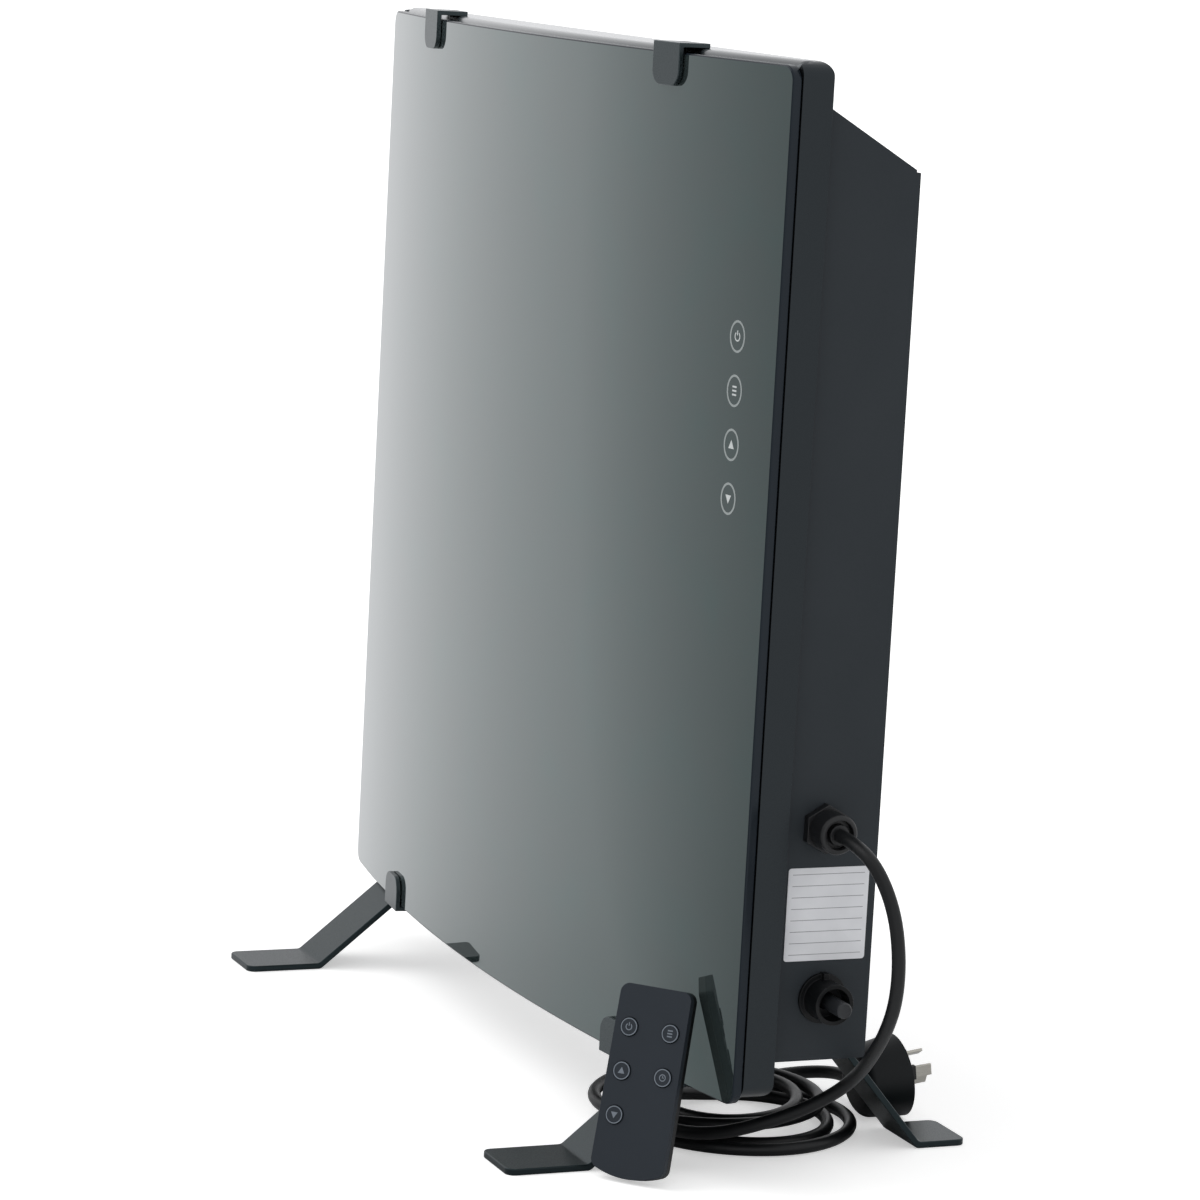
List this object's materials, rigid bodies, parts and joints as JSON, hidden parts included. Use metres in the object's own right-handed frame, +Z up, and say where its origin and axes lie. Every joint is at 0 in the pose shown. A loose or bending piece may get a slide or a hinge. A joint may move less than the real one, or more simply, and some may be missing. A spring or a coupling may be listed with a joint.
{
  "type": "glass panel heater",
  "caption": "Free-standing electric panel heater with a curved dark glass front, slim sheet-steel housing, bent plate feet, coiled mains cord with plug, push switch and a remote control.",
  "frame": {"origin": "on the floor under the middle of the panel, midway between the front and rear toes", "axes": "+X to the right as seen from the glass side, +Y to the back, away from the glass, +Z up"},
  "size_m": [0.6243, 0.2692, 0.57],
  "materials": {
    "dark_glass": "polished, mirror-like",
    "frame_black": "satin black",
    "clip_grey": "satin",
    "screw_steel": "plated",
    "housing_charcoal": "fine powder coat",
    "foot_black": "powder coat",
    "gland_plastic": "satin",
    "switch_black": "gloss",
    "plunger_black": "gloss",
    "element_aluminium": "extruded",
    "bush_ceramic": "fired",
    "sheet_bright": "galvanised",
    "board_green": "solder mask",
    "standoff_plastic": "moulded",
    "terminal_plastic": "moulded",
    "cutout_metal": "pressed",
    "cord_black": "matte",
    "plug_black": "moulded",
    "pin_metal": "plated",
    "sleeve_black": "moulded",
    "remote_black": "satin",
    "remote_face_grey": "satin",
    "key_grey": "satin",
    "cell_steel": "plated",
    "plate_white": "blank rating plate, drawn only",
    "print_light": "printed signs, drawn only"
  },
  "bodies": {
    "heater": {"back_panel": "housing_charcoal", "back_screws": "screw_steel", "bezel_frame": "frame_black", "board_standoffs": "standoff_plastic", "clip_bottom_left": "clip_grey", "clip_bottom_right": "clip_grey", "clip_screws": "screw_steel", "clip_top_left": "clip_grey", "clip_top_right": "clip_grey", "cord_coil": "cord_black", "cord_drop": "cord_black", "cord_tail": "cord_black", "element_brackets": "sheet_bright", "element_bushes": "bush_ceramic", "foot_left": "foot_black", "foot_right": "foot_black", "foot_screws": "screw_steel", "gland_body": "gland_plastic", "gland_locknut": "gland_plastic", "gland_nut": "gland_plastic", "glass_panel": "dark_glass", "heat_shield": "sheet_bright", "heating_element": "element_aluminium", "partition": "sheet_bright", "pin_sleeves": "sleeve_black", "plug_body": "plug_black", "plug_pins": "pin_metal", "power_board": "board_green", "rear_housing": "housing_charcoal", "switch_body": "switch_black", "switch_collar": "switch_black", "terminal_block": "terminal_plastic", "thermal_cutout": "cutout_metal", "tilt_switch": "switch_black", "touch_board": "board_green"},
    "push_button": {"push_button": "plunger_black"},
    "remote": {"remote_face": "remote_face_grey", "remote_back": "remote_black", "remote_board": "board_green", "remote_cell": "cell_steel"},
    "remote_battery_door": {"remote_battery_door": "remote_black"},
    "remote_key_down": {"remote_key_down": "key_grey"},
    "remote_key_mode": {"remote_key_mode": "key_grey"},
    "remote_key_power": {"remote_key_power": "key_grey"},
    "remote_key_timer": {"remote_key_timer": "key_grey"},
    "remote_key_up": {"remote_key_up": "key_grey"}
  },
  "joints": [
    {"name": "push_switch", "type": "slide", "parent": "heater", "child": "push_button", "axis": [-1, 0, 0], "range_m": [0, 0.003], "stiffness_N_per_m": 800},
    {"name": "remote_lift", "type": "slide", "parent": "heater", "child": "remote", "axis": [0, 0, 1], "range_m": [0, 0.12]},
    {"name": "battery_door_turn", "type": "hinge", "parent": "remote", "child": "remote_battery_door", "pos_m": [0.24459, -0.06465, 0.02919], "axis": [-0.6357, 0.7236, -0.2689], "range_deg": [0, 40]},
    {"name": "key_down_press", "type": "slide", "parent": "remote", "child": "remote_key_down", "axis": [-0.6357, 0.7236, -0.2689], "range_m": [0, 0.0005], "stiffness_N_per_m": 2500},
    {"name": "key_mode_press", "type": "slide", "parent": "remote", "child": "remote_key_mode", "axis": [-0.6357, 0.7236, -0.2689], "range_m": [0, 0.0005], "stiffness_N_per_m": 2500},
    {"name": "key_power_press", "type": "slide", "parent": "remote", "child": "remote_key_power", "axis": [-0.6357, 0.7236, -0.2689], "range_m": [0, 0.0005], "stiffness_N_per_m": 2500},
    {"name": "key_timer_press", "type": "slide", "parent": "remote", "child": "remote_key_timer", "axis": [-0.6357, 0.7236, -0.2689], "range_m": [0, 0.0005], "stiffness_N_per_m": 2500},
    {"name": "key_up_press", "type": "slide", "parent": "remote", "child": "remote_key_up", "axis": [-0.6357, 0.7236, -0.2689], "range_m": [0, 0.0005], "stiffness_N_per_m": 2500}
  ]
}
